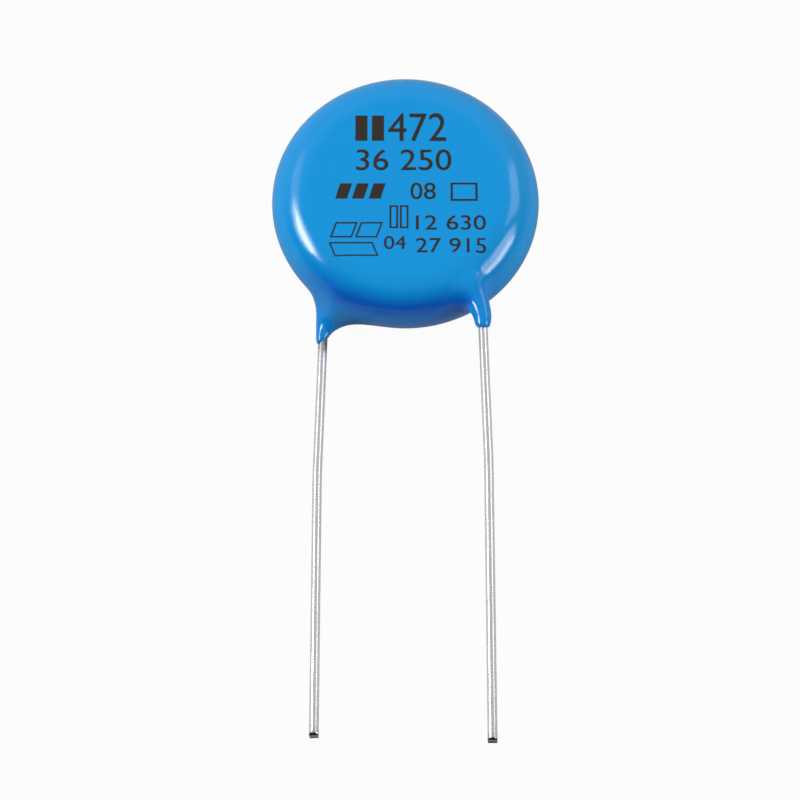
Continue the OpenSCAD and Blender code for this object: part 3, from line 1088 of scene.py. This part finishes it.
class CAPACITOR_OT_coat(Operator):
    """Builds the blue coat with its two skirts"""

    bl_idname = "capacitor.coat"
    bl_label = "Build Coat"

    def execute(self, context):
        scene = context.scene
        tree = coat_distance_tree()
        paint = epoxy_paint(scene.capacitor_coat)
        values = sizes_of(
            scene.capacitor_disc, scene.capacitor_leads, scene.capacitor_coat, scene.capacitor_mesh
        )
        coat = grow("coat", coat_rule(tree, paint), values)
        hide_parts("epoxy_coat")
        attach(coat, "root")
        return {"FINISHED"}


class CAPACITOR_OT_leads(Operator):
    """Builds the two tinned leads"""

    bl_idname = "capacitor.leads"
    bl_label = "Build Leads"

    def execute(self, context):
        scene = context.scene
        wire, cut = tin_paint(scene.capacitor_leads), cut_paint(scene.capacitor_leads)
        values = sizes_of(scene.capacitor_disc, scene.capacitor_leads)
        for end in ENDS:
            name = END_NAMES[end]
            lead = grow(f"{name}_wire", lead_rule(end, wire, cut), values)
            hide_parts(f"{name}_lead")
            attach(lead, "root")
        return {"FINISHED"}


class CAPACITOR_OT_inside(Operator):
    """Gives the ceramic, the silver and the solder inside the coat their finishes"""

    bl_idname = "capacitor.inside"
    bl_label = "Finish Inner Parts"

    def execute(self, context):
        for names, finish in INNER_FINISHES:
            paint = grainy_paint(*finish)
            for name in names:
                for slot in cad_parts[name].material_slots:
                    slot.material = paint
        return {"FINISHED"}


class CAPACITOR_OT_print(Operator):
    """Prints plain numerals and plain shapes on the marked face"""

    bl_idname = "capacitor.print"
    bl_label = "Print Face"

    def execute(self, context):
        scene = context.scene
        tree = bpy.data.node_groups["coat distance"]
        paint = ink_paint(scene.capacitor_print)
        sizes = sizes_of(
            scene.capacitor_disc, scene.capacitor_leads, scene.capacitor_coat, scene.capacitor_print
        )
        kinds = (
            (numerals_rule(tree, paint), NUMERAL_ROWS, NUMERAL_INPUTS),
            (marks_rule(tree, paint), MARK_ROWS, MARK_INPUTS),
        )
        for rule, rows, inputs in kinds:
            labels = [label for _, label, _ in inputs]
            for name, given in rows.items():
                row = grow(name, rule, {**sizes, **dict(zip(labels, given))})
                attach(row, "root")
        return {"FINISHED"}


class CAPACITOR_OT_stage(Operator):
    """Sets the floor, the lamps and the camera"""

    bl_idname = "capacitor.stage"
    bl_label = "Set Stage"

    def execute(self, context):
        scene = context.scene
        stage = scene.capacitor_stage
        mesh = bpy.data.meshes.new("floor")
        half, low = FLOOR_HALF, -FLOOR_GAP
        corners = [(-half, -half, low), (half, -half, low), (half, half, low), (-half, half, low)]
        mesh.from_pydata(corners, [], [(0, 1, 2, 3)])
        mesh.materials.append(floor_paint(stage))
        floor = bpy.data.objects.new("floor", mesh)
        scene.collection.objects.link(floor)
        for name, shape, azimuth, elevation, distance, width, height, power in LAMPS:
            light(name, shape, azimuth, elevation, distance, width, height, power * stage.level)
        scene.world = studio_world()
        data = bpy.data.cameras.new("camera")
        data.sensor_width = 36.0
        data.lens = stage.focal
        data.clip_start = 0.001
        camera = bpy.data.objects.new("camera", data)
        scene.collection.objects.link(camera)
        camera.location = stage.camera
        camera.rotation_euler = (stage.pitch, 0.0, 0.0)
        scene.camera = camera
        scene.view_settings.view_transform = "Standard"
        return {"FINISHED"}


STEPS = (
    CAPACITOR_OT_coat,
    CAPACITOR_OT_leads,
    CAPACITOR_OT_inside,
    CAPACITOR_OT_print,
    CAPACITOR_OT_stage,
)


class CAPACITOR_PT_build(Panel):
    """Lists the steps that build the capacitor"""

    bl_label = "Ceramic Disc Capacitor"
    bl_idname = "CAPACITOR_PT_build"
    bl_space_type = "VIEW_3D"
    bl_region_type = "UI"
    bl_category = "Capacitor"

    def draw(self, context):
        for step in STEPS:
            self.layout.operator(step.bl_idname)


GROUPS = {
    "capacitor_disc": DiscSizes,
    "capacitor_leads": LeadSizes,
    "capacitor_coat": CoatSizes,
    "capacitor_mesh": CoatMesh,
    "capacitor_print": PrintSizes,
    "capacitor_stage": StageSizes,
}


def register():
    for group in GROUPS.values():
        bpy.utils.register_class(group)
    for kind in (*STEPS, CAPACITOR_PT_build):
        bpy.utils.register_class(kind)
    for name, group in GROUPS.items():
        setattr(bpy.types.Scene, name, PointerProperty(type=group))


def unregister():
    for name in GROUPS:
        delattr(bpy.types.Scene, name)
    for kind in (CAPACITOR_PT_build, *reversed(STEPS), *reversed(GROUPS.values())):
        bpy.utils.unregister_class(kind)


def main():
    register()
    bpy.ops.capacitor.coat()
    bpy.ops.capacitor.leads()
    bpy.ops.capacitor.inside()
    bpy.ops.capacitor.print()
    bpy.ops.capacitor.stage()


if __name__ == "__main__":
    main()
